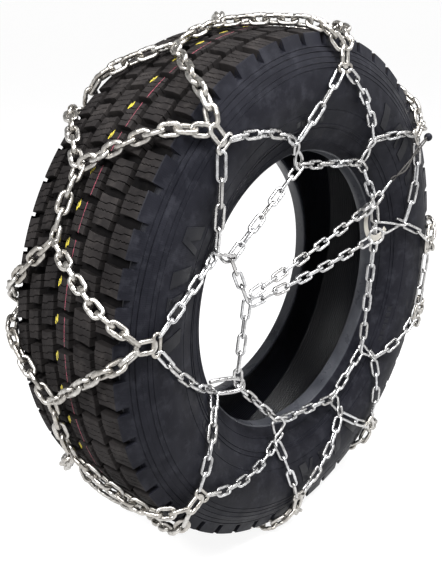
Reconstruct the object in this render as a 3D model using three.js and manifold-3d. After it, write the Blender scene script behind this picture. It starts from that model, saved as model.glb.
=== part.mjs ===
// Truck tyre fitted with a tyre snow-chain net.
// Wheel axis along Y, outer sidewall towards -Y, +Z up, standing on z = 0. Millimetres.
import * as THREE from 'three';
import { mergeVertices } from 'three/addons/utils/BufferGeometryUtils.js';
import Module from 'manifold-3d';

const wasm = await Module();
wasm.setup();

// ---- driving dimensions ----
const CENTRE = new THREE.Vector3(0, 5, 533.15);   // wheel centre above the floor
const TYRE_SEGMENTS = 60;
// outer skin of the tyre from crown centre to bead heel: [axial, radius]
const SKIN_HALF = [
  [0, 507], [45, 506.5], [85, 504], [110, 500], [124, 492], [134, 478], [143, 455],
  [150, 425], [151, 398], [146, 368], [136, 338], [122, 310], [112, 294], [106, 284],
];
// inside of the casing from the bead toe back to the crown centre
const LINER_HALF = [
  [78, 278], [80, 292], [104, 325], [131, 372], [136, 400], [124, 456], [70, 481], [0, 484],
];

// the tread band takes this many skin points, and the liner from this point on
const BAND_SKIN = 6;
const BAND_LINER = 5;

const HEAVY = { pitch: 29, width: 26, wire: 8 };  // tread links
const LIGHT = { pitch: 34, width: 19, wire: 6 };  // sidewall, side-chain and tension links
const HEAVY_LIFT = 15;       // tread strand centreline above the rubber
const LIGHT_LIFT = 11.5;     // sidewall strand centreline above the rubber

// corners of the net on the outer shoulder, degrees from +X towards +Z
const CORNER_DEG = [174, 129, 82.5, 38, 1, -21, -58, -94.5, -140];
const BRIDGE_DEG = 12;       // arc of the circumferential bridge between two diamonds
const SHOULDER_SPREAD = 3.6; // half angle between two strands where they cross a shoulder
const T_AXIAL = 25;          // diamond points sit slightly inboard of the crown centre
const CORNER_R = 452;        // apex of a tread strand pair on the sidewall
const SIDE_APEX_R = 424;     // apex of a sidewall strand pair
const END_GAP = 27;
const LEVEL = 3.8;           // extra lift on the inner shoulder, so that the wheel stands level

// hook eyes on the sidewall: [degrees, radius]
const HOOK_EYE = [
  [150.5, 312], [100, 316], [56.5, 342], [13, 347], [-41.5, 338], [-69, 338], [-107, 308],
  [-156.5, 286],
];
// side chain run, seen from outside: [degrees, radius]
const SIDE_RUN = [
  [150, 264], [98, 268], [53.5, 298], [31, 276], [18, 262], [-41, 296], [-67.5, 298], [-107.5, 264],
  [-151, 243], [-192.5, 188],
];
const SIDE_Y = -132;
const HOOP_R = 412;          // inner side chain
const HOOP_Y = 165;
const HOOP_STOPS = 24;
const INNER_DROP = [446, 426]; // radii of the short strand from an inner corner to it
const EYE_GAP = 24;          // space left for a hook's eye at the end of a sidewall strand
const HOOK_Y = -147;         // shank in front of the side chain
const HOOK_EYE_Y = -153;     // eyes stand clear of the sidewall

// tension chain, relative to the wheel centre
const V = (x, y, z) => new THREE.Vector3(x, y, z);
const TENSION = {
  upper: [V(-168, -139, 58), V(158, -146, 138)],
  lower: [V(-170, -139, 30), V(187, -147, 69)],
  tail: [V(201, -160, 157), V(236, -165, 191)],
  lock: V(180, -150, 143),
  ring: V(210, -157, 80),
  strap: V(238, -141.8, 113),
};
const RING_R = 16;
const STRAP_R = 47;
const STRAP_ARC = [150, 318];
const STRAP_W = 14;
const CORD = [V(243, -169, 199), V(312, -181, 248), V(369, -179, 262)];
const KNOB = V(376, -172, 269);
const KNOB_R = 9;

// ---- helpers ----
const rad = (d) => d * Math.PI / 180;

function polar(deg, r, y) {
  return new THREE.Vector3(r * Math.cos(rad(deg)), y, r * Math.sin(rad(deg)));
}

// signed arc length along the skin; negative towards the outer sidewall
const SKIN_S = SKIN_HALF.reduce((acc, p, i) => {
  const q = SKIN_HALF[Math.max(0, i - 1)];
  acc.push((acc[i - 1] ?? 0) + Math.hypot(p[0] - q[0], p[1] - q[1]));
  return acc;
}, []);

function skinPoint(s) {
  const a = Math.min(Math.abs(s), SKIN_S.at(-1));
  let i = 1;
  while (i < SKIN_S.length - 1 && SKIN_S[i] < a) i++;
  const t = (a - SKIN_S[i - 1]) / (SKIN_S[i] - SKIN_S[i - 1]);
  const y = SKIN_HALF[i - 1][0] + t * (SKIN_HALF[i][0] - SKIN_HALF[i - 1][0]);
  const r = SKIN_HALF[i - 1][1] + t * (SKIN_HALF[i][1] - SKIN_HALF[i - 1][1]);
  return [Math.sign(s) * y, r];
}

function skinAtRadius(radius) {
  let s = SKIN_S[3];
  while (skinPoint(s)[1] > radius) s += 0.5;
  return s;
}

// a point lifted off the skin, and its outward normal
function onSkin(s, deg, lift) {
  const [y, r] = skinPoint(s);
  const [y0, r0] = skinPoint(s - 14);
  const [y1, r1] = skinPoint(s + 14);
  const n = new THREE.Vector2(-(r1 - r0), y1 - y0).normalize();
  const normal = polar(deg, n.y, n.x);
  return { p: polar(deg, r, y).addScaledVector(normal, lift), n: normal };
}

// chain strand: sections at each link's middle, alternately lying flat and standing
function strand(points, normals, link) {
  const lengths = [0];
  for (let i = 1; i < points.length; i++) lengths.push(lengths[i - 1] + points[i].distanceTo(points[i - 1]));
  const total = lengths.at(-1);
  const count = Math.max(2, Math.round(total / link.pitch));
  const at = (d) => {
    let i = 1;
    while (i < lengths.length - 1 && lengths[i] < d) i++;
    const t = (d - lengths[i - 1]) / (lengths[i] - lengths[i - 1]);
    return {
      p: points[i - 1].clone().lerp(points[i], t),
      n: normals[i - 1].clone().lerp(normals[i], t).normalize(),
    };
  };
  const positions = [];
  for (let k = 0; k <= count; k++) {
    const d = total * k / count;
    const { p, n } = at(d);
    const ahead = at(Math.min(total, d + 4)).p.sub(at(Math.max(0, d - 4)).p).normalize();
    const across = new THREE.Vector3().crossVectors(ahead, n).normalize();
    const up = new THREE.Vector3().crossVectors(across, ahead).normalize();
    const flat = k % 2 === 0;
    const a = (flat ? link.width : link.wire) / 2;
    const b = (flat ? link.wire : link.width) / 2;
    for (const [i, j] of [[-a, -b], [a, -b], [a, b], [-a, b]]) {
      positions.push(p.clone().addScaledVector(across, i).addScaledVector(up, j));
    }
  }
  const index = [0, 1, 2, 0, 2, 3];
  for (let k = 0; k < count; k++) {
    for (let i = 0; i < 4; i++) {
      const a = 4 * k + i;
      const b = 4 * k + (i + 1) % 4;
      index.push(a, a + 4, b, b, a + 4, b + 4);
    }
  }
  const e = 4 * count;
  index.push(e, e + 2, e + 1, e, e + 3, e + 2);
  const g = new THREE.BufferGeometry();
  g.setAttribute('position', new THREE.Float32BufferAttribute(positions.flatMap((v) => v.toArray()), 3));
  g.setIndex(index);
  return g;
}

// strand along straight runs in (arc length, degrees), lifted off the skin; trims in mm at both ends
function skinStrand(way, link, lift, trimStart, trimEnd) {
  let pts = [];
  for (let i = 1; i < way.length; i++) {
    for (let k = i === 1 ? 0 : 1; k <= 24; k++) {
      const mix = (j) => way[i - 1][j] + (way[i][j] - way[i - 1][j]) * k / 24;
      pts.push(onSkin(mix(0), mix(1), lift + (mix(2) || 0)));
    }
  }
  const trim = (list, amount) => {
    let left = amount;
    while (list.length > 3 && left > 0) {
      left -= list[0].p.distanceTo(list[1].p);
      list.shift();
    }
    return list;
  };
  pts = trim(pts, trimStart);
  pts = trim(pts.reverse(), trimEnd).reverse();
  return strand(pts.map((q) => q.p), pts.map((q) => q.n), link);
}

function solid(geometry) {
  const bare = new THREE.BufferGeometry();
  bare.setAttribute('position', geometry.attributes.position);
  bare.setIndex(geometry.index);
  const m = mergeVertices(bare, 1e-4);
  return new wasm.Manifold(new wasm.Mesh({
    numProp: 3,
    vertProperties: new Float32Array(m.attributes.position.array),
    triVerts: new Uint32Array(m.index.array),
  }));
}

function union(geometries) {
  const whole = geometries.map(solid).reduce((a, b) => a.add(b));
  const mesh = whole.getMesh();
  const g = new THREE.BufferGeometry();
  g.setAttribute('position', new THREE.Float32BufferAttribute(mesh.vertProperties, 3));
  g.setIndex(new THREE.BufferAttribute(mesh.triVerts, 1));
  return g;
}

// round wire bent along a smooth open curve
function wire(points, radius, steps) {
  const shape = new THREE.Shape();
  for (let i = 0; i < 8; i++) {
    const a = i * Math.PI / 4;
    const c = [radius * Math.cos(a), radius * Math.sin(a)];
    if (i === 0) shape.moveTo(...c);
    else shape.lineTo(...c);
  }
  const path = new THREE.CatmullRomCurve3(points);
  return new THREE.ExtrudeGeometry(shape, { steps, bevelEnabled: false, extrudePath: path });
}

const RUBBER = () => new THREE.MeshStandardMaterial({ color: 0x2c2b2b, roughness: 0.85, metalness: 0 });
const ZINC = () => new THREE.MeshStandardMaterial({ color: 0xb9bab8, roughness: 0.35, metalness: 1 });

const group = new THREE.Group();
group.name = 'tyre_snow_chains';

function add(name, geometry, material) {
  const mesh = new THREE.Mesh(geometry, material);
  mesh.name = name;
  mesh.position.copy(CENTRE);
  mesh.geometry.computeVertexNormals();
  group.add(mesh);
  return mesh;
}

// ---- tyre: tread band and two sidewalls with their beads, one ring each ----
const mirror = (list) => list.map(([y, r]) => [-y, r]);

function ringAround(section) {
  const profile = section.map(([y, r]) => new THREE.Vector2(r, y));
  profile.push(profile[0].clone());
  return new THREE.LatheGeometry(profile, TYRE_SEGMENTS);
}

const bandSkin = SKIN_HALF.slice(0, BAND_SKIN);
const bandLiner = LINER_HALF.slice(BAND_LINER);
add('tyre_tread_band', ringAround([
  ...mirror(bandSkin).slice(1).reverse(), ...bandSkin, ...bandLiner, ...mirror(bandLiner).slice(0, -1).reverse(),
]), RUBBER());

// the sidewall starts a hair outboard of the cut through the shoulder
const apart = ([y, r]) => [y + 0.36, r - 0.17];
const wall = [
  apart(SKIN_HALF[BAND_SKIN - 1]), ...SKIN_HALF.slice(BAND_SKIN),
  ...LINER_HALF.slice(0, BAND_LINER), apart(LINER_HALF[BAND_LINER]),
];
add('tyre_sidewall_inner', ringAround(wall), RUBBER());
add('tyre_sidewall_outer', ringAround(mirror(wall).reverse()), RUBBER());

// ---- tread net ----
const corners = CORNER_DEG.map((deg, k) => {
  const next = CORNER_DEG[(k + 8) % 9];
  const prev = CORNER_DEG[(k + 1) % 9];
  const up = ((next - deg) % 360 + 360) % 360;
  const down = ((deg - prev) % 360 + 360) % 360;
  const reach = (gap) => (gap - Math.min(BRIDGE_DEG, gap * 0.35)) / 2;
  return { deg, up: deg + reach(up), down: deg - reach(down), bridge: Math.min(BRIDGE_DEG, up * 0.35) };
});
const S_CORNER = skinAtRadius(CORNER_R);
const S_SHOULDER = 128;

// on each shoulder a pair of strands meets at the corner; the inner pair also carries
// the bridge that runs around the crown to the next diamond
corners.forEach((c, k) => {
  for (const side of [-1, 1]) {
    const leg = (tip, toward, gap) => skinStrand(
      [[T_AXIAL, tip, 0], [side * S_SHOULDER, c.deg + toward * SHOULDER_SPREAD, side > 0 ? LEVEL : 0],
        [side * S_CORNER, c.deg, 0]],
      HEAVY, HEAVY_LIFT, gap, 0,
    );
    if (side < 0) {
      add(`tread_pair_outer_${k}`, union([leg(c.up, 1, END_GAP), leg(c.down, -1, END_GAP)]), ZINC());
    } else {
      const bridge = skinStrand([[T_AXIAL, c.up], [T_AXIAL, c.up + c.bridge]], HEAVY, HEAVY_LIFT, 0, 0);
      add(`tread_pair_inner_${k}`, union([leg(c.up, 1, 0), leg(c.down, -1, END_GAP), bridge]), ZINC());
    }
  }
});

// ---- sidewall strands: pairs from each corner down to the hooks ----
const S_APEX = skinAtRadius(SIDE_APEX_R);

function sideLeg(corner, eye) {
  const shift = 360 * Math.round((CORNER_DEG[corner] - eye[0]) / 360);
  const way = [[-S_APEX, CORNER_DEG[corner]], [-skinAtRadius(eye[1]), eye[0] + shift]];
  return skinStrand(way, LIGHT, LIGHT_LIFT, 0, EYE_GAP);
}

for (const k of [0, 1, 2, 3, 6, 7, 8]) {
  const before = HOOK_EYE[k < 4 ? (k + 7) % 8 : k - 2];
  const after = HOOK_EYE[k < 4 ? k : k - 1];
  add(`side_pair_${k}`, union([sideLeg(k, before), sideLeg(k, after)]), ZINC());
}
// the closing strand joins the two end corners of the net directly
add('side_closing_strand', union([
  sideLeg(4, HOOK_EYE[3]),
  skinStrand([[-S_APEX, CORNER_DEG[4]], [-S_APEX, CORNER_DEG[5]]], LIGHT, LIGHT_LIFT, 0, 0),
  sideLeg(5, HOOK_EYE[4]),
]), ZINC());

// ---- inner side: a short strand from each corner down to a ring of chain behind the wheel ----
CORNER_DEG.forEach((deg, k) => {
  const [top, low] = INNER_DROP.map(skinAtRadius);
  add(`inner_strand_${k}`, skinStrand([[top, deg], [low, deg]], LIGHT, LIGHT_LIFT, 0, 0), ZINC());
});

// closed run of chain through the given points, facing along the wheel axis
function chainRing(stops, facing) {
  const normal = new THREE.Vector3(0, facing, 0);
  return union(stops.map((p, i) => strand([p, stops[(i + 1) % stops.length]], [normal, normal], LIGHT)));
}
const hoop = Array.from({ length: HOOP_STOPS }, (_, i) => polar(360 * i / HOOP_STOPS, HOOP_R, HOOP_Y));
add('inner_side_chain', chainRing(hoop, 1), ZINC());
add('outer_side_chain', chainRing(SIDE_RUN.map(([d, r]) => polar(d, r, SIDE_Y)), -1), ZINC());

// ---- hooks: eye on the sidewall, shank in front of the side chain, finger behind its far edge ----
function hook(eye, k, radius) {
  const stop = polar(...SIDE_RUN[k], 0);
  const e = polar(...eye, 0);
  const along = stop.clone().sub(e).normalize();
  // the finger stands clear of both runs of chain that leave the stop
  const slant = [1, 9].map((step) => {
    const run = polar(...SIDE_RUN[(k + step) % 10], 0).sub(stop);
    return Math.sin(run.angleTo(along));
  });
  const bend = e.distanceTo(stop) + (LIGHT.width / 2 + radius + 2) / Math.min(...slant);
  const eyeY = -Math.max(-HOOK_EYE_Y, skinPoint(skinAtRadius(eye[1] + 14))[0] + radius + 2);
  const at = (d, y) => e.clone().addScaledVector(along, d).setY(y);
  const ring = new THREE.TorusGeometry(9, radius, 8, 10);
  ring.rotateX(Math.PI / 2);
  ring.translate(e.x, eyeY, e.z);
  const shank = wire([
    at(9, eyeY), at(bend - 14, HOOK_Y), at(bend - 3, HOOK_Y + 1), at(bend, HOOK_Y + 6), at(bend, HOOK_Y + 24),
  ], radius, 9);
  return union([ring, shank]);
}
HOOK_EYE.forEach((eye, k) => {
  add(`side_hook_${k}`, hook(eye, k < 3 ? k : k + 1, k === 7 ? 4.5 : 3.5), ZINC());
});

// ---- tension chain across the wheel opening ----
const facing = new THREE.Vector3(0, -1, 0);
function run(from, to) {
  return strand([from, to], [facing, facing], LIGHT);
}
add('tension_strand_upper', run(TENSION.upper[0], TENSION.upper[1]), ZINC());
add('tension_strand_lower', run(TENSION.lower[0], TENSION.lower[1]), ZINC());
add('tension_tail', run(TENSION.tail[0], TENSION.tail[1]), ZINC());

// cast lock that grips the upper strand, with a jaw open towards the wheel centre
const lockShape = new THREE.Shape();
lockShape.moveTo(-15, -9);
lockShape.lineTo(11, -9);
lockShape.lineTo(15, -5);
lockShape.lineTo(15, 5);
lockShape.lineTo(11, 9);
lockShape.lineTo(-15, 9);
lockShape.lineTo(-15, 4);
lockShape.lineTo(4, 4);
lockShape.lineTo(4, -4);
lockShape.lineTo(-15, -4);
const lockGeometry = new THREE.ExtrudeGeometry(lockShape, { depth: 9, bevelEnabled: false });
lockGeometry.rotateX(Math.PI / 2);
const lock = add('tension_lock', lockGeometry, ZINC());
lock.rotation.y = -rad(14);
lock.position.add(TENSION.lock);

const ring = new THREE.TorusGeometry(RING_R, 3.5, 8, 20);
ring.rotateX(Math.PI / 2);
add('tension_ring', ring, ZINC()).position.add(TENSION.ring);

// pale flat strap curving around the ring
const band = new THREE.Shape();
band.absarc(0, 0, STRAP_R + STRAP_W / 2, rad(STRAP_ARC[0]), rad(STRAP_ARC[1]), false);
band.absarc(0, 0, STRAP_R - STRAP_W / 2, rad(STRAP_ARC[1]), rad(STRAP_ARC[0]), true);
const strap = new THREE.ExtrudeGeometry(band, { depth: 1.4, bevelEnabled: false, curveSegments: 14 });
strap.rotateX(Math.PI / 2);
add('tension_strap', strap, new THREE.MeshStandardMaterial({ color: 0xa8a196, roughness: 0.6 }))
  .position.add(TENSION.strap);

// ---- elastic tensioner: hairpin of rubber cord from the tail to a knob above the corner ----
const [cordLow, cordMid, cordHigh] = CORD;
const aside = new THREE.Vector3().crossVectors(cordHigh.clone().sub(cordLow), facing).normalize();
const beside = (p, d) => p.clone().addScaledVector(aside, d);
const tip = cordLow.clone().sub(cordMid).normalize().multiplyScalar(6).add(cordLow);
add('elastic_cord', wire(
  [beside(cordHigh, 4.5), beside(cordMid, 4.5), beside(cordLow, 4.5), tip, beside(cordLow, -4.5),
    beside(cordMid, -4.5), beside(cordHigh, -4.5)], 2, 36,
), new THREE.MeshStandardMaterial({ color: 0x3a3836, roughness: 0.8 }));
add('elastic_knob', new THREE.SphereGeometry(KNOB_R, 16, 10), RUBBER()).position.add(KNOB);

export default group;
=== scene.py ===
# Truck tyre wearing a tyre snow-chain net, stood on its tread.
# Wheel axis along Y, outer sidewall towards -Y, +Z up. Lengths in millimetres until a mesh is made.
import math
import random

import bpy
import numpy as np
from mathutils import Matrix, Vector


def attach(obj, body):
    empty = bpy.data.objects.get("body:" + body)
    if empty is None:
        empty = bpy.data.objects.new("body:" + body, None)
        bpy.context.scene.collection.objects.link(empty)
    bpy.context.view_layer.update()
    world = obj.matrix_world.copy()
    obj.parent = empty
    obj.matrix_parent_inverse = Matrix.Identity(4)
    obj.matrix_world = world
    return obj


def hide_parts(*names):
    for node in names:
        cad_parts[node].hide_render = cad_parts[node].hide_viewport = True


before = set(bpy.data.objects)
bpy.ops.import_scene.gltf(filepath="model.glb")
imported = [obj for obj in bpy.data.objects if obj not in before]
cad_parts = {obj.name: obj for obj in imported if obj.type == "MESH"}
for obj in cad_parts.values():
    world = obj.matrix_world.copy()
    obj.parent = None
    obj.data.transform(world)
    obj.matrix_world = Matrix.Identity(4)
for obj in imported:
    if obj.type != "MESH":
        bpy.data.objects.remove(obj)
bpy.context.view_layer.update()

MM = 0.001
CENTRE = np.array([0.0, 5.0, 533.15])
rng = random.Random(7)

# ---------------------------------------------------------------- camera
AZIMUTH = math.radians(-48.327)
ELEVATION = math.radians(19.941)
DISTANCE = 1.69958
SHIFT_RIGHT, SHIFT_UP = -0.07089, -0.00471
LENS = 51.915

back = Vector((math.sin(AZIMUTH) * math.cos(ELEVATION), -math.cos(AZIMUTH) * math.cos(ELEVATION),
               math.sin(ELEVATION)))
right = Vector((math.cos(AZIMUTH), math.sin(AZIMUTH), 0.0))
up = back.cross(right)
camera_data = bpy.data.cameras.new("camera")
camera_data.sensor_width = 36.0
camera_data.lens = LENS
camera_data.clip_start = 0.05
camera_data.clip_end = 800.0
camera = bpy.data.objects.new("camera", camera_data)
bpy.context.scene.collection.objects.link(camera)
camera.location = Vector(CENTRE * MM) + back * DISTANCE + right * SHIFT_RIGHT + up * SHIFT_UP
camera.rotation_mode = "QUATERNION"
camera.rotation_quaternion = (-back).to_track_quat("-Z", "Y")
bpy.context.scene.camera = camera
bpy.context.scene.view_settings.view_transform = "Standard"

# ---------------------------------------------------------------- dimensions shared with the CAD
SKIN = np.array([
    [0, 507], [45, 506.5], [85, 504], [110, 500], [124, 492], [134, 478], [143, 455],
    [150, 425], [151, 398], [146, 368], [136, 338], [122, 310], [112, 294], [106, 284],
], float)
SKIN_S = np.concatenate([[0], np.cumsum(np.hypot(*np.diff(SKIN, axis=0).T))])
HEAVY = dict(pitch=29.0, width=26.0, wire=8.0, square=2.6, steps=9)
LIGHT = dict(pitch=34.0, width=19.5, wire=5.8, square=2.0, steps=8)
HEAVY_LIFT, LIGHT_LIFT = 16.0, 11.8
CORNER_DEG = [174, 129, 82.5, 38, 1, -21, -58, -94.5, -140]
BRIDGE_DEG, SHOULDER_SPREAD, T_AXIAL = 12.0, 3.6, 25.0
CORNER_R, RADIAL_R, LINK_R, SIDE_APEX_R = 470.0, 455.5, 437.0, 432.0
S_SHOULDER, LEVEL = 128.0, 3.8
HOOK_EYE = [(150.5, 312), (100, 316), (56.5, 342), (13, 347), (-41.5, 338), (-69, 338), (-107, 308),
            (-156.5, 286)]
SIDE_RUN = [(150, 264), (98, 268), (53.5, 298), (31, 276), (18, 262), (-41, 296), (-67.5, 298),
            (-107.5, 264), (-151, 243), (-192.5, 188)]
SIDE_Y, HOOP_R, HOOP_Y = -132.0, 412.0, 165.0
PITCHES = 50
# roll of the links in a run of chain about its line, on top of the quarter turn between neighbours
BIAS = math.radians(42)


def polar(deg, r, y):
    a = math.radians(deg)
    return np.array([r * math.cos(a), y, r * math.sin(a)])


def unit(v):
    v = np.asarray(v, float)
    return v / np.linalg.norm(v)


def skin_point(s):
    a = min(abs(s), SKIN_S[-1])
    return math.copysign(np.interp(a, SKIN_S, SKIN[:, 0]), s), np.interp(a, SKIN_S, SKIN[:, 1])


def skin_at_radius(radius):
    return float(np.interp(radius, SKIN[3:, 1][::-1], SKIN_S[3:][::-1]))


def on_skin(s, deg, lift):
    """Point lifted off the tyre's skin at arc length s from the crown, and the outward normal."""
    y, r = skin_point(s)
    y0, r0 = skin_point(s - 14)
    y1, r1 = skin_point(s + 14)
    n = unit([-(r1 - r0), y1 - y0])
    normal = polar(deg, n[1], n[0])
    return polar(deg, r, y) + normal * lift, normal


# ---------------------------------------------------------------- meshes
class Build:
    """Collects vertices and faces in millimetres about the wheel centre, with a tone per vertex."""

    def __init__(self):
        self.verts, self.faces, self.tones, self.total = [], [], [], 0

    def add(self, verts, faces, tone=0.5):
        verts = np.asarray(verts, float).reshape(-1, 3)
        self.faces.extend((np.asarray(f) + self.total).tolist() for f in faces)
        self.verts.append(verts)
        self.tones.append(np.full(len(verts), tone))
        self.total += len(verts)

    def piece(self, name, body, material, slot, nodes=(), sharp=None, wrap=None):
        mesh = bpy.data.meshes.new(name)
        verts = (np.concatenate(self.verts) + CENTRE) * MM
        mesh.from_pydata(verts.tolist(), [], self.faces)
        mesh.update()
        tone = mesh.attributes.new("tone", "FLOAT", "POINT")
        tone.data.foreach_set("value", np.concatenate(self.tones).astype(np.float32))
        mesh.polygons.foreach_set("use_smooth", [True] * len(mesh.polygons))
        if sharp is not None:
            mesh.set_sharp_from_angle(angle=math.radians(sharp))
        if wrap is not None:
            layer = mesh.uv_layers.new(name="wrap")
            layer.data.foreach_set("uv", np.asarray(wrap, np.float32).ravel())
        obj = bpy.data.objects.new(name, mesh)
        bpy.context.scene.collection.objects.link(obj)
        mesh.materials.append(material)
        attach(obj, body)
        if nodes:
            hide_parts(*nodes)
        return obj


def ring_faces(rows, sides, closed):
    """Quads between successive rings of a tube."""
    out = []
    for i in range(rows if closed else rows - 1):
        a, b = i * sides, (i + 1) % rows * sides
        for k in range(sides):
            m = (k + 1) % sides
            out.append((a + k, a + m, b + m, b + k))
    return out


def catmull(points, per):
    """Smooth open curve through the points, per steps between two of them."""
    p = np.asarray(points, float)
    p = np.vstack([2 * p[0] - p[1], p, 2 * p[-1] - p[-2]])
    out = []
    for i in range(1, len(p) - 2):
        for k in range(per):
            t = k / per
            out.append(0.5 * (2 * p[i] + (p[i + 1] - p[i - 1]) * t
                              + (2 * p[i - 1] - 5 * p[i] + 4 * p[i + 1] - p[i + 2]) * t * t
                              + (3 * p[i] - p[i - 1] - 3 * p[i + 1] + p[i + 2]) * t ** 3))
    out.append(p[-2])
    return np.array(out)


def tube(build, path, radius, sides=8, tone=0.5, taper=0.0):
    """Round wire along an open path; the last part narrows to a point if taper is a length."""
    path = np.asarray(path, float)
    step = np.gradient(path, axis=0)
    tangents = step / np.linalg.norm(step, axis=1)[:, None]
    u = np.cross(tangents[0], [0.3, 0.9, 0.31])
    u /= np.linalg.norm(u)
    along = np.concatenate([[0], np.cumsum(np.linalg.norm(np.diff(path, axis=0), axis=1))])
    rings = []
    for i, (p, t) in enumerate(zip(path, tangents)):
        u = unit(u - t * np.dot(u, t))
        w = np.cross(t, u)
        left = along[-1] - along[i]
        r = radius
        if taper and left < taper:
            r = radius * (0.35 + 0.65 * left / taper)
        if min(along[i], left) < radius * 0.4:
            r *= 0.72
        for k in range(sides):
            a = 2 * math.pi * k / sides
            rings.append(p + u * r * math.cos(a) + w * r * math.sin(a))
    faces = ring_faces(len(path), sides, False)
    faces.append(tuple(range(sides))[::-1])
    faces.append(tuple((len(path) - 1) * sides + k for k in range(sides)))
    build.add(rings, faces, tone)


def link_template(length, width, wire, square, steps, sides=10):
    """Closed stadium of wire in its own X-Y plane, with a weld swelling on one flank."""
    r, a = (width - wire) / 2, (length - width) / 2
    line = []
    for k in range(steps + 1):
        t = -math.pi / 2 + math.pi * k / steps
        line.append((a + r * math.cos(t), r * math.sin(t), math.cos(t), math.sin(t), 1.0))
    line.append((0.0, r, 0, 1, 1.0))
    for k in range(steps + 1):
        t = math.pi / 2 + math.pi * k / steps
        line.append((-a + r * math.cos(t), r * math.sin(t), math.cos(t), math.sin(t), 1.0))
    for x, swell in ((-2.6, 1.0), (-1.2, 1.13), (1.2, 1.13), (2.6, 1.0)):
        line.append((x, -r, 0, -1, swell))
    rings = []
    for x, y, nx, ny, swell in line:
        for k in range(sides):
            turn = 2 * math.pi * (k + 0.5) / sides
            c, s = math.cos(turn), math.sin(turn)
            c = math.copysign(abs(c) ** (2 / square), c) * wire / 2 * swell
            s = math.copysign(abs(s) ** (2 / square), s) * wire / 2 * swell
            rings.append((x + nx * c, y + ny * c, s))
    return np.array(rings), ring_faces(len(line), sides, True)


def add_link(build, centre, along, normal, spec, inner, roll=0.0):
    """One link: along is its long direction and normal the way its flat side faces."""
    t = unit(along)
    n = unit(normal - t * np.dot(normal, t))
    b = np.cross(n, t)
    c, s = math.cos(roll), math.sin(roll)
    n, b = n * c + b * s, b * c - n * s
    local, faces = link_template(inner + 2 * spec["wire"], spec["width"], spec["wire"], spec["square"],
                                 spec["steps"])
    build.add(centre + local[:, :1] * t + local[:, 1:2] * b + local[:, 2:] * n, faces,
              0.5 + rng.uniform(-0.5, 0.5))


def resample(points, normals, count):
    """The path and its normals at the ends of count equal steps."""
    points, normals = np.asarray(points), np.asarray(normals)
    d = np.concatenate([[0], np.cumsum(np.linalg.norm(np.diff(points, axis=0), axis=1))])
    at = np.linspace(0, d[-1], count + 1)

    def pick(v):
        return np.stack([np.interp(at, d, v[:, i]) for i in range(3)], 1)

    return pick(points), pick(normals)


def chain(build, points, normals, spec, parity=None, first=1, loose=0.10):
    """Chain along a path. parity fixes an odd or even count; first is 1 where the first link stands."""
    total = float(np.sum(np.linalg.norm(np.diff(points, axis=0), axis=1)))
    count = max(1, round(total / spec["pitch"]))
    if parity is not None and count % 2 != parity:
        low, high = max(1, count - 1), count + 1
        count = high if total / high > 0.86 * spec["pitch"] or low % 2 != parity else low
    joints, facing = resample(points, normals, count)
    for i in range(count):
        a, b = joints[i], joints[i + 1]
        roll = (math.pi / 2 if (i + first) % 2 else 0.0) + BIAS + rng.gauss(0, loose)
        add_link(build, (a + b) / 2, b - a, facing[i] + facing[i + 1], spec,
                 float(np.linalg.norm(b - a)), roll)


def skin_path(way):
    """Points and normals over the skin, straight in arc length, angle and lift between the stops."""
    points, normals = [], []
    for i in range(1, len(way)):
        for k in range(0 if i == 1 else 1, 13):
            s, deg, lift = (way[i - 1][j] + (way[i][j] - way[i - 1][j]) * k / 12 for j in range(3))
            p, n = on_skin(s, deg, lift)
            points.append(p)
            normals.append(n)
    return np.array(points), np.array(normals)


# ---------------------------------------------------------------- materials
def nodes_of(name):
    material = bpy.data.materials.new(name)
    material.use_nodes = True
    tree = material.node_tree
    return material, tree, tree.nodes["Principled BSDF"]


def noise(tree, vector, scale, detail=4.0, rough=0.55):
    n = tree.nodes.new("ShaderNodeTexNoise")
    n.inputs["Scale"].default_value = scale
    n.inputs["Detail"].default_value = detail
    n.inputs["Roughness"].default_value = rough
    tree.links.new(vector, n.inputs["Vector"])
    return n.outputs["Fac"]


def ramp(tree, fac, stops):
    r = tree.nodes.new("ShaderNodeValToRGB")
    while len(r.color_ramp.elements) < len(stops):
        r.color_ramp.elements.new(0.5)
    for e, (at, colour) in zip(r.color_ramp.elements, stops):
        e.position = at
        e.color = (*colour, 1.0)
    tree.links.new(fac, r.inputs["Fac"])
    return r.outputs["Color"]


def grey(v):
    return (v, v, v)


def mix(tree, fac, a, b, how="MIX"):
    m = tree.nodes.new("ShaderNodeMix")
    m.data_type = "RGBA"
    m.blend_type = how
    for sock, x in ((m.inputs[0], fac), (m.inputs[6], a), (m.inputs[7], b)):
        if isinstance(x, (int, float)):
            sock.default_value = x
        elif isinstance(x, tuple):
            sock.default_value = (*x, 1.0)
        else:
            tree.links.new(x, sock)
    return m.outputs[2]


def bump(tree, height, strength, distance, normal=None):
    b = tree.nodes.new("ShaderNodeBump")
    b.inputs["Strength"].default_value = strength
    b.inputs["Distance"].default_value = distance
    tree.links.new(height, b.inputs["Height"])
    if normal is not None:
        tree.links.new(normal, b.inputs["Normal"])
    return b.outputs["Normal"]


def place(tree):
    return tree.nodes.new("ShaderNodeTexCoord").outputs["Object"]


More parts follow.
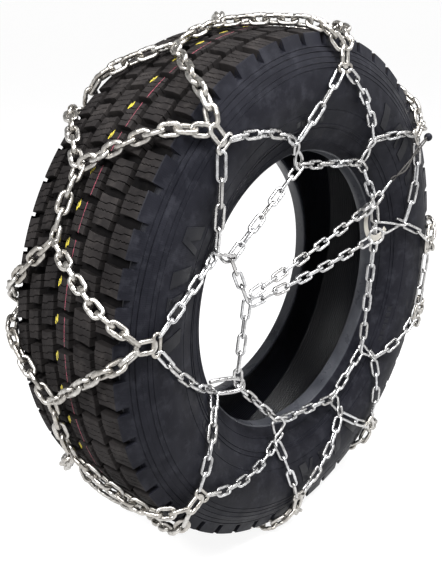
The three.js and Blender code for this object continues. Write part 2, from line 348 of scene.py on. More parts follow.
def zinc(name, dark, light, rough=(0.2, 0.42)):
    """Bright zinc plate: cloudy tone, dull patches and fine drawing marks."""
    material, tree, shader = nodes_of(name)
    where = place(tree)
    cloud = noise(tree, where, 90.0, 5.0)
    spots = noise(tree, where, 420.0, 3.0)
    tone = tree.nodes.new("ShaderNodeAttribute")
    tone.attribute_name = "tone"
    base = ramp(tree, cloud, [(0.3, dark), (0.7, light)])
    worn = ramp(tree, spots, [(0.34, grey(0.62)), (0.5, grey(1.0))])
    shade = ramp(tree, tone.outputs["Fac"], [(0.0, (0.78, 0.76, 0.73)), (1.0, (1.0, 1.0, 1.0))])
    colour = mix(tree, 1.0, mix(tree, 0.45, base, worn, "MULTIPLY"), shade, "MULTIPLY")
    tree.links.new(colour, shader.inputs["Base Color"])
    gloss = ramp(tree, noise(tree, where, 160.0, 4.0), [(0.3, grey(rough[0])), (0.75, grey(rough[1]))])
    tree.links.new(gloss, shader.inputs["Roughness"])
    shader.inputs["Metallic"].default_value = 1.0
    tree.links.new(bump(tree, spots, 0.10, 0.0004), shader.inputs["Normal"])
    return material


def rubber(name, dark, light, rough, dust=0.0, dust_colour=(0.09, 0.085, 0.08), grain=700.0, ribs=None,
           shine=0.08):
    """Moulded rubber: fine grain, cloudy tone, dust, and optional fine ribs from the wrap map."""
    material, tree, shader = nodes_of(name)
    where = place(tree)
    cloud = noise(tree, where, 14.0, 6.0, 0.6)
    colour = ramp(tree, cloud, [(0.32, dark), (0.7, light)])
    if dust:
        scuff = ramp(tree, noise(tree, where, 38.0, 8.0, 0.7), [(0.5, grey(0.0)), (0.72, grey(dust))])
        colour = mix(tree, scuff, colour, dust_colour)
    tree.links.new(colour, shader.inputs["Base Color"])
    tree.links.new(ramp(tree, noise(tree, where, 30.0, 5.0), [(0.3, grey(rough[0])), (0.7, grey(rough[1]))]),
                   shader.inputs["Roughness"])
    normal = bump(tree, noise(tree, where, grain, 3.0), 0.3, 0.0004)
    if ribs:
        uv = tree.nodes.new("ShaderNodeUVMap")
        uv.uv_map = "wrap"
        wave = tree.nodes.new("ShaderNodeTexWave")
        wave.wave_type = "BANDS"
        wave.bands_direction = ribs[0]
        wave.inputs["Scale"].default_value = ribs[1]
        wave.inputs["Distortion"].default_value = 0.0
        tree.links.new(uv.outputs["UV"], wave.inputs["Vector"])
        normal = bump(tree, wave.outputs["Fac"], ribs[2], 0.0006, normal)
    tree.links.new(normal, shader.inputs["Normal"])
    shader.inputs["Specular IOR Level"].default_value = shine
    return material


def paint(name, colour, fade):
    """Thin paint on rubber, worn through to the fade colour in places."""
    material, tree, shader = nodes_of(name)
    where = place(tree)
    tree.links.new(ramp(tree, noise(tree, where, 260.0, 5.0), [(0.35, fade), (0.6, colour)]),
                   shader.inputs["Base Color"])
    tree.links.new(bump(tree, noise(tree, where, 800.0), 0.3, 0.0003), shader.inputs["Normal"])
    shader.inputs["Roughness"].default_value = 0.62
    return material


TREAD = rubber("tread_rubber", (0.0095, 0.0086, 0.0088), (0.022, 0.0198, 0.0195), (0.62, 0.85), dust=0.35,
               dust_colour=(0.062, 0.055, 0.052), shine=0.05)
# groove floors: rubber darker than the tread blocks, painted shade in the recesses between the blocks
GROOVE_FLOOR_PAINTED_SHADE = rubber("groove_floor_painted_shade", (0.0030, 0.0028, 0.0030), (0.0070, 0.0064, 0.0066), (0.7, 0.9), dust=0.25,
                 dust_colour=(0.02, 0.018, 0.017), shine=0.03)
WALL = rubber("sidewall_rubber", (0.0055, 0.0057, 0.0082), (0.0118, 0.0121, 0.0162), (0.36, 0.55), dust=0.4,
              dust_colour=(0.040, 0.041, 0.050), ribs=("X", 105.0, 0.14), shine=0.05)
MARK = rubber("mark_rubber", (0.0040, 0.0042, 0.0060), (0.0075, 0.0078, 0.0105), (0.30, 0.45), dust=0.2,
              dust_colour=(0.03, 0.031, 0.038), shine=0.14)
# bead seat: rubber several times lighter than the sidewall, a painted sheen of the lit ring round the bead
BEAD_PAINTED_SHEEN = rubber("bead_rubber_painted_sheen", (0.022, 0.0235, 0.029), (0.048, 0.050, 0.058), (0.24, 0.42), dust=0.3,
              dust_colour=(0.08, 0.082, 0.09), shine=0.3)
LINER = rubber("liner_rubber", (0.0055, 0.0060, 0.0090), (0.0095, 0.0100, 0.0135), (0.30, 0.42),
               ribs=("Y", 60.0, 0.9), shine=0.32)
ZINC_HEAVY = zinc("zinc_tread", (0.30, 0.288, 0.272), (0.64, 0.625, 0.60), (0.26, 0.44))
ZINC_LIGHT = zinc("zinc_side", (0.37, 0.37, 0.376), (0.70, 0.705, 0.718), (0.22, 0.38))
ZINC_HOOK = zinc("zinc_hook", (0.37, 0.37, 0.376), (0.69, 0.69, 0.70), (0.22, 0.38))
PINK = paint("line_pink", (0.36, 0.06, 0.10), (0.07, 0.035, 0.04))
YELLOW = paint("dab_yellow", (0.52, 0.43, 0.03), (0.12, 0.10, 0.03))

# ---------------------------------------------------------------- tyre: tread blocks
CROWN = np.array([[0, 507], [45, 506.4], [85, 504], [110, 501.4], [124.5, 499.4]], float)
GROOVE = 14.5
BLOCK_R = 505  # radius at which lengths round the tread are taken
SHOULDER_Y = 120  # a row that reaches past this ends at the shoulder


def crown(y):
    return np.interp(np.abs(y), CROWN[:, 0], CROWN[:, 1])


# block rows: [low y, high y, phase of the lateral groove in degrees, slant in degrees per mm, groove width]
ROWS = [
    (-124.2, -84.5, 0.5, -0.009, 16.0), (-75.5, -33.5, 3.2, -0.012, 12.0), (-24.5, 9.5, 5.4, -0.006, 12.0),
    (17.5, 49.5, 2.4, 0.022, 12.0), (57.5, 87.5, 6.6, 0.022, 12.0), (95.0, 124.2, 3.6, 0.025, 11.0),
]
PITCH_DEG = 360.0 / PITCHES
SIPE = 1.3
ACROSS = 15  # points across a block
PARTS = 4  # parts that three sipes make of a block


def cyl(deg, y, r):
    a = np.radians(deg)
    return np.stack([r * np.cos(a), y, r * np.sin(a)], -1)


def edges_of_block(gap, v):
    """Five lines across a block, as offsets in mm round the wheel from its first edge; v runs 0..1."""
    length = math.radians(PITCH_DEG) * BLOCK_R - gap
    bow = 2.2 * np.sin(math.pi * v)
    step = np.clip((v - 0.42) / 0.12, 0, 1)
    zigzag = 1.5 * (np.abs((v * 5) % 1 - 0.5) * 4 - 1) * np.clip(np.minimum(v, 1 - v) * 8, 0, 1)
    return [bow * 0.6, length * 0.25 + 3.4 * step - 1.4, length * 0.5 + zigzag + 2.0 * (v - 0.5),
            length * 0.75 - 1.8 + 3.4 * step, length - bow * 0.6]


blocks = Build()
across = np.linspace(0, 1, ACROSS)
for y0, y1, phase, slant, gap in ROWS:
    lines = edges_of_block(gap, across)
    free_low, free_high = y0 > -SHOULDER_Y, y1 < SHOULDER_Y
    for p in range(PITCHES):
        for j in range(PARTS):
            low = lines[j] + (SIPE / 2 if j else 0)
            high = lines[j + 1] - (SIPE / 2 if j < PARTS - 1 else 0)
            middle = (j + 0.5) / PARTS
            pinch = 2.6 * abs(middle - 0.5) * 2
            y = y0 + pinch * free_low + (y1 - y0 - pinch * (free_low + free_high)) * across
            start = p * PITCH_DEG + phase + math.degrees(gap / 2 / BLOCK_R) + slant * (y - (y0 + y1) / 2)
            rings = []
            for inset, rise in ((0.0, -GROOVE - 1.5), (0.0, -0.7), (0.7, 0.0)):
                yy = np.clip(y, y[0] + inset, y[-1] - inset)
                a = start + np.degrees((low + inset) / BLOCK_R)
                b = start + np.degrees((high - inset) / BLOCK_R)
                ring_y = np.concatenate([yy, yy[::-1]])
                ring_a = np.concatenate([a, b[::-1]])
                rings.append(cyl(ring_a, ring_y, crown(ring_y) + rise))
            n = 2 * ACROSS
            faces = []
            for k in range(2):
                for i in range(n):
                    m = (i + 1) % n
                    faces.append((k * n + i, (k + 1) * n + i, (k + 1) * n + m, k * n + m))
            faces += [(2 * n + i, 3 * n - 1 - i, 3 * n - 2 - i, 2 * n + i + 1) for i in range(ACROSS - 1)]
            blocks.add(np.concatenate(rings), faces, rng.random())
blocks.piece("tyre_tread_blocks", "tyre", TREAD, "tyre_rubber", sharp=28)


def paint_from(piece, material, first):
    """Gives a further material to the faces from index first on."""
    piece.data.materials.append(material)
    index = np.zeros(len(piece.data.polygons), np.int32)
    piece.data.polygons.foreach_get("material_index", index)
    index[first:] = len(piece.data.materials) - 1
    piece.data.polygons.foreach_set("material_index", index)


def lathe(rows, degs, move=None):
    """Closed surface of revolution through rows of (y, radius); move may shift a row per column."""
    verts = []
    for i, (y, r) in enumerate(rows):
        yy, rr = np.full(len(degs), float(y)), np.full(len(degs), float(r))
        if move is not None:
            yy, rr = move(i, yy, rr)
        verts.append(cyl(degs, yy, rr))
    n = len(degs)
    faces, wrap = [], []
    arc = np.concatenate([[0], np.cumsum(np.hypot(*np.diff(np.array(rows, float), axis=0).T))]) * MM
    step = np.append(degs, 360.0 + degs[0]) / 360.0 * math.tau * 0.4
    for i in range(len(rows) - 1):
        for k in range(n):
            m = (k + 1) % n
            faces.append((i * n + k, i * n + m, (i + 1) * n + m, (i + 1) * n + k))
            wrap += [(step[k], arc[i]), (step[k + 1], arc[i]), (step[k + 1], arc[i + 1]),
                     (step[k], arc[i + 1])]
    return np.concatenate(verts), faces, wrap


floor_rows = [(y, float(crown(y)) - GROOVE) for y in np.linspace(-121, 121, 23)]
liner_rows = [(124, 456), (112, 465), (95, 474), (70, 481), (35, 483.4), (0, 484), (-35, 483.4), (-70, 481),
              (-95, 474), (-112, 465), (-124, 456)]
band = Build()
degs = np.arange(0, 360, 1.2)
verts, faces, wrap = lathe(floor_rows + liner_rows + [floor_rows[0]], degs)
band.add(verts, faces)
# the groove floor rows take the darker rubber, painted shade in the grooves; the rows inside take the liner
# rubber
piece = band.piece("tyre_tread_base", "tyre", GROOVE_FLOOR_PAINTED_SHADE, "tyre_rubber", ["tyre_tread_band"], sharp=40,
                   wrap=wrap)
paint_from(piece, LINER, len(floor_rows) * len(degs))

# ---------------------------------------------------------------- tyre: sidewalls
# outside of the sidewall below the slots: [axial, radius]; BUTTRESS is the part above it
WALL_LINE = np.array([
    [132.2, 477.4], [137.6, 466], [142.6, 456], [146.6, 446], [149.2, 436], [150.6, 424], [151.2, 411],
    [151, 398], [149, 383], [146, 368], [141.4, 353], [136, 338], [129.2, 324], [122, 310], [116.6, 301],
    [112, 294], [108.5, 288], [106, 284],
])
# raised or sunk rings on it: [outer radius, inner radius, height]
RINGS = [(475.0, 473.6, -1.1), (466.5, 465.2, -1.0), (465.2, 457.0, 0.9), (447.5, 446.0, -1.0),
         (438.5, 437.3, -0.8), (364.0, 362.8, -0.7), (336.0, 332.5, 1.5), (328.0, 325.0, 1.2),
         (304.0, 301.0, 1.0)]
HEEL_TO_LINER = [(103.5, 281.2), (98, 280.2), (90, 279.4), (82, 278.6), (78.6, 279.6), (78.2, 284), (80, 292),
                 (90, 306), (104, 325), (119, 349), (131, 372), (136, 400), (132.6, 428), (124, 456)]
# buttress rows (axial, radius), each with its place inside a slot
BUTTRESS = [((122.8, 499.9), (117.5, 486.0)), ((124.6, 499.0), (119.5, 484.0)),
            ((126.6, 493), (121.5, 482.6)), ((129.2, 485.5), (124.2, 480.8)),
            ((131.2, 480.2), (126.6, 479.2)), ((131.6, 479.0), (131.2, 478.8))]


def wall_y(r):
    return np.interp(r, WALL_LINE[::-1, 1], WALL_LINE[::-1, 0])


def ring_height(r):
    return sum(h for high, low, h in RINGS if low <= r <= high)


def wall_rows():
    """Rows (axial, radius) down the sidewall, with an extra pair at each edge of a ring."""
    radii = list(np.arange(477.4, 284.0, -4.0)) + [284.0]
    for high, low, _ in RINGS:
        radii += [high + 0.25, high - 0.05, low + 0.05, low - 0.25]
    rows = []
    for r in sorted(set(round(x, 3) for x in radii), reverse=True):
        n = unit([4.0, wall_y(r - 2) - wall_y(r + 2)])
        h = ring_height(r)
        rows.append((wall_y(r) + n[0] * h, r + n[1] * h))
    return rows


def sidewall(side, phase, width, deep, name, node):
    """One sidewall with shoulder slots of that width in mm, sunk by the share deep, down to its liner."""
    slot = width / (math.radians(PITCH_DEG) * BLOCK_R)
    fractions = [0.0, 0.012, slot * 0.5, slot - 0.012, slot] + list(slot + (1 - slot) * np.arange(1, 9) / 9)
    degs = np.array([(p + f) * PITCH_DEG + phase - slot / 2 * PITCH_DEG for p in range(PITCHES)
                     for f in fractions])
    in_slot = np.array([0.006 < f < slot - 0.006 for _ in range(PITCHES) for f in fractions])
    rows = [b[0] for b in BUTTRESS] + wall_rows() + HEEL_TO_LINER

    def move(i, y, r):
        if i < len(BUTTRESS):
            sunk = [a + (b - a) * deep for a, b in zip(*BUTTRESS[i])]
            y, r = np.where(in_slot, sunk[0], y), np.where(in_slot, sunk[1], r)
        return side * y, r

    build = Build()
    verts, faces, wrap = lathe(rows, degs, move)
    if side > 0:
        faces = [f[::-1] for f in faces]
        wrap = [wrap[i + 3 - k] for i in range(0, len(wrap), 4) for k in range(4)]
    build.add(verts, faces)
    piece = build.piece(name, "tyre", WALL, "tyre_rubber", [node], sharp=30, wrap=wrap)
    heel = len(rows) - len(HEEL_TO_LINER)
    # the bead seat rows take the lighter rubber, a painted sheen of the lit bead ring
    paint_from(piece, BEAD_PAINTED_SHEEN, (heel - 1) * len(degs))
    paint_from(piece, LINER, (heel + 5) * len(degs))


sidewall(-1, 0.5, 14.0, 1.0, "tyre_sidewall_outer_skin", "tyre_sidewall_outer")
sidewall(1, 3.6, 9.0, 0.4, "tyre_sidewall_inner_skin", "tyre_sidewall_inner")

# generic raised shapes in place of any moulded lettering
marks = Build()
LARGE_MARKS = [(3.4, 2.4), (1.6, -2.0), (3.8, 2.4), (1.4, 2.4), (3.0, -2.4), (3.6, 2.4)]  # width, lean: deg


def raised(build, side, low_deg, high_deg, low_r, high_r, lean, height):
    """Plain raised patch on the sidewall, leaning by lean degrees between its two radii."""
    rows, cols = 7, 5
    grid = []
    for lift in (-0.6, height):
        for i in range(rows):
            r = low_r + (high_r - low_r) * i / (rows - 1)
            for k in range(cols):
                d = low_deg + (high_deg - low_deg) * k / (cols - 1) + lean * i / (rows - 1)
                grid.append(cyl(d, side * (wall_y(r) + lift), r))
    n = rows * cols
    faces = []
    for i in range(rows - 1):
        for k in range(cols - 1):
            a = n + i * cols + k
            faces.append((a, a + 1, a + cols + 1, a + cols))
    rim = list(range(cols)) + [i * cols + cols - 1 for i in range(1, rows)]
    rim += [(rows - 1) * cols + k for k in range(cols - 2, -1, -1)]
    rim += [i * cols for i in range(rows - 2, 0, -1)]
    for a, b in zip(rim, rim[1:] + rim[:1]):
        faces.append((a, b, n + b, n + a))
    if side > 0:
        faces = [f[::-1] for f in faces]
    build.add(np.array(grid), faces)


for side in (-1, 1):
    for start in (146, 26, 266):
        at = start
        for width, lean in LARGE_MARKS:
            raised(marks, side, at, at + width, 376, 419, lean, 1.3)
            at += width + 2.6
    for start in (86, 206, 326):
        for k in range(6):
            raised(marks, side, start + 2.4 * k, start + 2.4 * k + 1.5, 341, 352, 0.4, 0.6)
marks.piece("tyre_sidewall_marks", "tyre", MARK, "tyre_rubber", sharp=30)

# pale lines and dabs of paint on the new tread
line, dab = Build(), Build()
LINE_PHASE = ROWS[2][2]
LINE_R = crown(-13.0) + 0.25
for p in range(PITCHES):
    a0 = p * PITCH_DEG + LINE_PHASE + math.degrees(6.0 / BLOCK_R)
    a1 = (p + 1) * PITCH_DEG + LINE_PHASE - math.degrees(6.0 / BLOCK_R)
    wobble = 1.2 * math.sin(p * 0.7)
    d = np.linspace(a0, a1, 9)
    edges = [cyl(d, y + wobble + 0 * d, LINE_R) for y in (-13.5, -12.4)]
    line.add(np.concatenate(edges), [(i, i + 1, 10 + i, 9 + i) for i in range(8)])
    for shift, y in ((0.0, 4.5), (1.0, 8.0)):
        d0 = a0 + 0.15 + shift * 0.5
        spots = [(d0 + 0.5 + 0.85 * math.cos(t) + rng.uniform(-0.1, 0.1),
                  y + 1.9 * math.sin(t) + rng.uniform(-0.5, 0.5))
                 for t in np.linspace(0, math.tau, 9)[:-1]]
        dab.add([cyl(s[0], np.float64(s[1]), crown(s[1]) + 0.3) for s in spots], [tuple(range(8))])
line.piece("tread_line", "tyre", PINK, "tyre_rubber")
dab.piece("tread_paint_dabs", "tyre", YELLOW, "tyre_rubber")

# ---------------------------------------------------------------- tread net
S_CORNER, S_RADIAL, S_LINK, S_APEX = (skin_at_radius(r) for r in (CORNER_R, RADIAL_R, LINK_R, SIDE_APEX_R))
HALF_T = math.degrees(12 / 520)
HEAVY_SPREAD, SPREAD_N = 0.9, 1.9
T_LINK = dict(width=27.0, wire=8.0, square=2.6, steps=9)
N_LINK = dict(width=19.5, wire=6.2, square=2.0, steps=9)



def bridge_of(gap):
    """Degrees of the gap between two corners that the bridge of chain round the crown takes."""
    return min(BRIDGE_DEG, gap * 0.35)


corners = []
for k, deg in enumerate(CORNER_DEG):
    gap_up = (CORNER_DEG[(k + 8) % 9] - deg) % 360
    gap_down = (deg - CORNER_DEG[(k + 1) % 9]) % 360
    corners.append(dict(deg=deg, up=deg + (gap_up - bridge_of(gap_up)) / 2,
                        down=deg - (gap_down - bridge_of(gap_down)) / 2, bridge=bridge_of(gap_up)))


def tangent(deg):
    a = math.radians(deg)
    return np.array([-math.sin(a), 0.0, math.cos(a)])


for k, c in enumerate(corners):
    for side in (-1, 1):
        build = Build()
        lift = LEVEL if side > 0 else 0.0
        for tip, toward in ((c["up"], 1), (c["down"], -1)):
            way = [(T_AXIAL + side * 5, tip - toward * HALF_T, HEAVY_LIFT - 2),
                   (side * S_SHOULDER, c["deg"] + toward * SHOULDER_SPREAD, HEAVY_LIFT + lift),
                   (side * S_CORNER, c["deg"] + toward * HEAVY_SPREAD, HEAVY_LIFT - 2)]
            chain(build, *skin_path(way), HEAVY, parity=1, first=1, loose=0.16)
            if side > 0:
                p, n = on_skin(T_AXIAL, tip, HEAVY_LIFT - 4)
                add_link(build, p, tangent(tip), n, T_LINK, 24.0, 0.12 * toward)
        p, n = on_skin(side * S_RADIAL, c["deg"], HEAVY_LIFT - 3)
        q, _ = on_skin(side * (S_RADIAL + 10), c["deg"], HEAVY_LIFT - 4)
        add_link(build, p, q - p, n, T_LINK, 29.0, 0.08)
        p, n = on_skin(side * S_LINK, c["deg"], HEAVY_LIFT - 4)
        add_link(build, p, tangent(c["deg"]), n, N_LINK, 33.0, rng.gauss(0, 0.15))
        if side < 0:
            build.piece(f"tread_pair_outer_chain_{k}", "chain_net", ZINC_HEAVY, "zinc_steel",
                        [f"tread_pair_outer_{k}"])
            continue
        way = [(T_AXIAL, c["up"] + HALF_T, HEAVY_LIFT - 2),
               (T_AXIAL, c["up"] + c["bridge"] - HALF_T, HEAVY_LIFT - 2)]
        chain(build, *skin_path(way), HEAVY, parity=1, first=1)
        build.piece(f"tread_pair_inner_chain_{k}", "chain_net", ZINC_HEAVY, "zinc_steel",
                    [f"tread_pair_inner_{k}"])


# ---------------------------------------------------------------- sidewall strands
def side_leg(build, corner, eye, toward):
    """Light chain from a corner down the sidewall to a hook's eye, on the side given by toward."""
    shift = 360 * round((CORNER_DEG[corner] - eye[0]) / 360)
    end = -skin_at_radius(eye[1] + 7)
    way = [(-S_APEX, CORNER_DEG[corner] + toward * SPREAD_N, LIGHT_LIFT - 1),
           (end, eye[0] + shift - toward * 0.9, LIGHT_LIFT - 1)]
    chain(build, *skin_path(way), LIGHT, parity=0, first=1, loose=0.14)


for k in (0, 1, 2, 3, 6, 7, 8):
    build = Build()
    side_leg(build, k, HOOK_EYE[(k + 7) % 8 if k < 4 else k - 2], 1)
    side_leg(build, k, HOOK_EYE[k if k < 4 else k - 1], -1)
    build.piece(f"side_pair_chain_{k}", "chain_net", ZINC_LIGHT, "zinc_steel", [f"side_pair_{k}"])
build = Build()
side_leg(build, 4, HOOK_EYE[3], 1)
chain(build, *skin_path([(-S_LINK, -2.2, LIGHT_LIFT), (-S_LINK, -17.8, LIGHT_LIFT)]), LIGHT, parity=1)
side_leg(build, 5, HOOK_EYE[4], -1)
build.piece("side_closing_chain", "chain_net", ZINC_LIGHT, "zinc_steel", ["side_closing_strand"])

# inner side: one link hangs from each corner onto the ring of chain behind the wheel
DROP_LINK = dict(width=20.0, wire=5.8, square=2.0, steps=8)
for k, deg in enumerate(CORNER_DEG):
    build = Build()
    a, _ = on_skin(skin_at_radius(441), deg, LIGHT_LIFT - 1)
    b = polar(deg, HOOP_R, HOOP_Y)
    add_link(build, (a + b) / 2, b - a, tangent(deg), DROP_LINK, float(np.linalg.norm(b - a)))
    build.piece(f"inner_strand_link_{k}", "chain_net", ZINC_LIGHT, "zinc_steel", [f"inner_strand_{k}"])


def closed_chain(stops, facing, name, node):
    """Endless light chain through the stops; facing is the sign of Y that its flat side faces."""
    stops = list(stops) + [stops[0]]
    total = sum(float(np.linalg.norm(b - a)) for a, b in zip(stops, stops[1:]))
    count = 2 * round(total / LIGHT["pitch"] / 2)
    joints, _ = resample(np.array(stops), np.array([[0, facing, 0]] * len(stops), float), count)
    build = Build()
    for i, (a, b) in enumerate(zip(joints, joints[1:])):
        add_link(build, (a + b) / 2, b - a, np.array([0.0, facing, 0.0]), LIGHT, float(np.linalg.norm(b - a)),
                 (math.pi / 2 if i % 2 else 0.0) + BIAS + rng.gauss(0, 0.12))
    build.piece(name, "chain_net", ZINC_LIGHT, "zinc_steel", [node])


closed_chain([polar(d, HOOP_R, HOOP_Y) for d in range(0, 360, 6)], 1,
             "inner_side_chain_links", "inner_side_chain")
closed_chain([polar(d, r, SIDE_Y) for d, r in SIDE_RUN], -1,
             "outer_side_chain_links", "outer_side_chain")


# ---------------------------------------------------------------- hooks
def local_wire(build, origin, u, v, w, points, radius, per=6, sides=8, taper=0.0):
    """Wire through points given along u, v and w from the origin."""
    pts = np.asarray(points, float)
    world = origin + pts[:, :1] * u + pts[:, 1:2] * v + pts[:, 2:] * w
    tube(build, catmull(world, per), radius, sides, taper=taper)


HOOK_ROLL = [1.35, 0.5, 0.35, 1.1, 1.0, 0.25, 0.0, 0.0]
HALF_WIDTH = [9, 8, 8, 12, 8, 8, 12]  # of the bent-wire hooks 0 to 6
OPEN_HOOK = 7  # the thicker open one
for k, (deg, r) in enumerate(HOOK_EYE):
    stop = polar(*SIDE_RUN[k if k < 3 else k + 1], SIDE_Y)
    eye, normal = on_skin(-skin_at_radius(r), deg, LIGHT_LIFT)
    u = unit(eye - stop)
    reach = float(np.linalg.norm(eye - stop))
    w = unit(normal - u * np.dot(normal, u))
    v = np.cross(u, w)
    c, s = math.cos(HOOK_ROLL[k]), math.sin(HOOK_ROLL[k])
    v, w = v * c + w * s, w * c - v * s
    build = Build()
    if k == OPEN_HOOK:
        points = [(reach + 9, 10, 0), (reach - 8, 12, 0), (6, 12, 0), (-10, 8, 3), (-13, 0, 4),
                  (-10, -8, 3), (6, -12, 0), (reach - 8, -12, 0), (reach + 3, -10, 0)]
        local_wire(build, stop, u, v, w, points, 4.0, sides=10, taper=12)
    else:
        h = HALF_WIDTH[k]
        points = [(reach - 14, -h - 1, 7), (reach - 5, -h + 1, 6), (reach + 4, -3, 4), (reach + 3, 4, 2),
                  (reach - 7, 3, 2), (reach * 0.62, -h * 0.5, 3), (reach * 0.3, -h, 5), (2, -h * 0.9, 7),
                  (-9, 0, 0), (2, h * 0.9, -6), (reach * 0.3, h, -3), (reach * 0.62, h * 0.5, -1),
                  (reach - 7, -2, -3), (reach + 1, -5, -3), (reach + 6, 1, -2), (reach + 1, 6, 0)]
        local_wire(build, stop, u, v, w, points, 3.0, taper=10)
    build.piece(f"side_hook_wire_{k}", f"hook_{k}", ZINC_HOOK, "zinc_steel", [f"side_hook_{k}"])

# ---------------------------------------------------------------- tension chain
UPPER = (np.array([-178.0, -138, 52]), np.array([170.0, -148, 140]))
LOWER = (np.array([-178.0, -136, 34]), np.array([196.0, -152, 73]))
TAIL = (np.array([190.0, -155, 149]), np.array([238.0, -165, 193]))
LOCK = np.array([180.0, -150, 143])
RING = np.array([210.0, -157, 80])
STRAP = np.array([238.0, -141.8, 113])
OUT = np.array([0.0, -1.0, 0.0])
RING_R, STRAP_R = 16, 47
TENSION_CHAINS = [
    ("tension_upper_chain", "upper_strand", "tension_strand_upper", UPPER, 3.0),
    ("tension_lower_chain", "lower_strand", "tension_strand_lower", LOWER, 5.0),
    ("tension_tail_chain", "tail", "tension_tail", TAIL, 0.0),
]


def straight(a, b, sag):
    """Path from a to b that hangs by sag in the middle, facing outward."""
    count = 25
    t = np.linspace(0, 1, count)[:, None]
    points = a + (b - a) * t
    points[:, 2] -= sag * 4 * (t * (1 - t))[:, 0]
    return points, np.repeat(OUT[None], count, 0)


for name, body, node, ends, sag in TENSION_CHAINS:
    build = Build()
    chain(build, *straight(*ends, sag), LIGHT, first=0, loose=0.1)
    build.piece(name, body, ZINC_LIGHT, "zinc_steel", [node])

# cast lock: a forked body with a jaw, rounded edges
lock = Build()
outline = [(-15, -9), (-9, -10), (6, -10), (12, -8), (15, -4), (15, 4), (12, 8), (6, 10), (-9, 10), (-15, 9),
           (-15, 4.2), (1, 4), (4, 0), (1, -4), (-15, -4.2)]
tilt = math.radians(14)
axis_x = np.array([math.cos(tilt), 0, math.sin(tilt)])
axis_z = np.array([-math.sin(tilt), 0, math.cos(tilt)])
rings = []
centre = np.mean(outline, axis=0)
for shrink, depth in ((1.0, -4.0), (1.12, -2.8), (1.12, 6.2), (1.0, 7.4)):
    for x, z in outline:
        q = centre + (np.array([x, z]) - centre) * shrink
        rings.append(LOCK + axis_x * q[0] + axis_z * q[1] + OUT * depth)
n = len(outline)
lock.add(rings, ring_faces(4, n, False) + [tuple(range(n)), tuple(3 * n + i for i in range(n))[::-1]], 0.6)
tube(lock, [LOCK + OUT * d + axis_x * 9 for d in (6.0, 8.0, 10.5)], 4.6, 10, 0.4)
lock.piece("tension_lock_casting", "lock", ZINC_HOOK, "zinc_steel", ["tension_lock"], sharp=35)

ring = Build()
points = [(RING_R * math.cos(t), RING_R * math.sin(t), 1.5 * (t / math.tau))
          for t in np.linspace(0.3, 0.3 + math.tau, 13)]
points.append((19, 9, 2.6))
turn = math.radians(32)
face = np.array([-math.sin(turn), -math.cos(turn), 0.0])
sideways = np.array([math.cos(turn), -math.sin(turn), 0.0])
local_wire(ring, RING, sideways, np.array([0, 0, 1.0]), face, points, 3.1, per=4)
ring.piece("tension_ring_wire", "ring", ZINC_HOOK, "zinc_steel", ["tension_ring"])

strap = Build()
angles = np.radians(np.linspace(151, 317, 33))
rows = []
for off, lift in ((-7, 0.0), (-6.4, 1.0), (6.4, 1.0), (7, 0.0), (6.4, -0.6), (-6.4, -0.6)):
    rows.append([STRAP + (STRAP_R + off) * np.array([math.cos(t), 0, math.sin(t)]) + OUT * lift
                 for t in angles])
rows = np.array(rows).transpose(1, 0, 2).reshape(-1, 3)
ends = [tuple(range(6)), tuple(len(rows) - 1 - i for i in range(6))]
strap.add(rows, ring_faces(len(angles), 6, False) + ends)
STRAP_MAT = rubber("strap_plastic", (0.30, 0.28, 0.25), (0.44, 0.42, 0.38), (0.4, 0.6), dust=0.2,
                   dust_colour=(0.2, 0.19, 0.17), grain=300.0)
strap.piece("tension_strap_band", "chain_net", STRAP_MAT, "strap", ["tension_strap"], sharp=35)

CORD = [np.array([243.0, -169, 199]), np.array([312.0, -181, 248]), np.array([369.0, -179, 262])]
KNOB = np.array([376.0, -172, 269])
cord = Build()
aside = unit(np.cross(CORD[2] - CORD[0], OUT))
tip = CORD[0] + unit(CORD[0] - CORD[1]) * 6
bend = CORD[0] + (CORD[1] - CORD[0]) * 0.45 + np.array([3.0, 0, -5.0])
top = KNOB - unit(CORD[2] - CORD[1]) * 5
hairpin = [top + aside * 2.5, CORD[1] + aside * 3.5, bend - aside * 2.6, CORD[0] + aside * 3.6, tip,
           CORD[0] - aside * 3.6, bend + aside * 2.6 + OUT * 4, CORD[1] - aside * 3.5, top - aside * 2.5]
tube(cord, catmull(hairpin, 8), 1.7, 8)
CORD_MAT = rubber("elastic_cover", (0.030, 0.028, 0.027), (0.060, 0.057, 0.054), (0.5, 0.75), grain=1500.0)
cord.piece("elastic_cord_loop", "elastic", CORD_MAT, "cord_rubber", ["elastic_cord"])

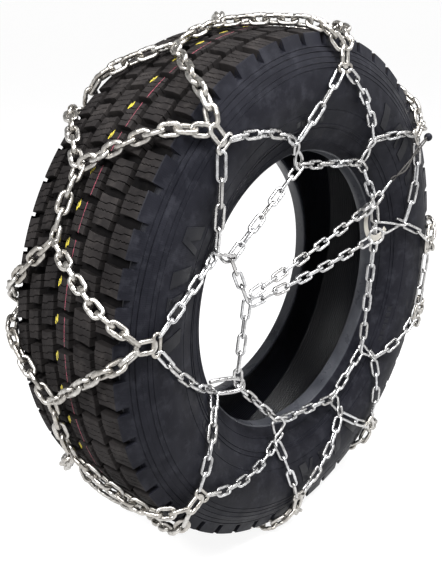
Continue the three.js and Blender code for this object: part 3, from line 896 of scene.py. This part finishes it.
knob = Build()
outward = unit(CORD[2] - CORD[1])
profile = [(0.1, -8.6), (4.2, -8.3), (7.0, -6.4), (8.6, -3), (9, 0.6), (8.3, 4.0), (6.2, 6.3), (4.0, 7.2),
           (3.4, 8.0), (3.1, 9.4), (2.0, 10.0), (0.1, 10.1)]
side_a = unit(np.cross(outward, [0.0, 0.0, 1.0]))
side_b = np.cross(outward, side_a)
rings = [KNOB + outward * h * 0.9 + (side_a * math.cos(t) + side_b * math.sin(t)) * r
         for r, h in profile for t in np.linspace(0, math.tau, 25)[:-1]]
knob.add(rings, ring_faces(len(profile), 24, False))
knob.piece("elastic_knob_ball", "elastic", WALL, "tyre_rubber", ["elastic_knob"])

# ---------------------------------------------------------------- floor, light
floor_mesh = bpy.data.meshes.new("floor")
HALF = 250  # of the floor's side, in metres
floor_mesh.from_pydata([(-HALF, -HALF, 0), (HALF, -HALF, 0), (HALF, HALF, 0), (-HALF, HALF, 0)], [],
                       [(0, 1, 2, 3)])
floor = bpy.data.objects.new("floor", floor_mesh)
bpy.context.scene.collection.objects.link(floor)
floor_material, tree, shader = nodes_of("floor_pale")
tree.links.new(ramp(tree, noise(tree, place(tree), 3.0), [(0.3, grey(0.24)), (0.7, grey(0.26))]),
               shader.inputs["Base Color"])
shader.inputs["Roughness"].default_value = 0.9
shader.inputs["Specular IOR Level"].default_value = 0.1
shader.inputs["Emission Color"].default_value = (1.0, 1.0, 1.0, 1.0)
shader.inputs["Emission Strength"].default_value = 0.88
floor_mesh.materials.append(floor_material)

world = bpy.data.worlds.new("studio")
bpy.context.scene.world = world
world.use_nodes = True
tree = world.node_tree
split = tree.nodes.new("ShaderNodeSeparateXYZ")
tree.links.new(tree.nodes.new("ShaderNodeTexCoord").outputs["Generated"], split.inputs[0])
# bright at the horizon, dim overhead
sky = [(0.0, grey(0.95)), (0.14, grey(0.9)), (0.4, grey(0.3)), (1.0, grey(0.24))]
tree.links.new(ramp(tree, split.outputs["Z"], sky), tree.nodes["Background"].inputs["Color"])
tree.nodes["Background"].inputs["Strength"].default_value = 1.0


def area(name, where, aim, size, watts):
    data = bpy.data.lights.new(name, "AREA")
    data.size = size
    data.energy = watts
    obj = bpy.data.objects.new(name, data)
    bpy.context.scene.collection.objects.link(obj)
    obj.location = where
    obj.rotation_mode = "QUATERNION"
    obj.rotation_quaternion = (Vector(aim) - Vector(where)).to_track_quat("-Z", "Y")


area("key", (-2.4, -0.7, 2.8), (0, 0, 0.5), 1.2, 150)
area("top", (0.3, -1.1, 3.0), (0, 0, 0.7), 1.2, 150)
area("right", (2.4, -2.2, 2.2), (0, 0, 0.6), 0.8, 22)
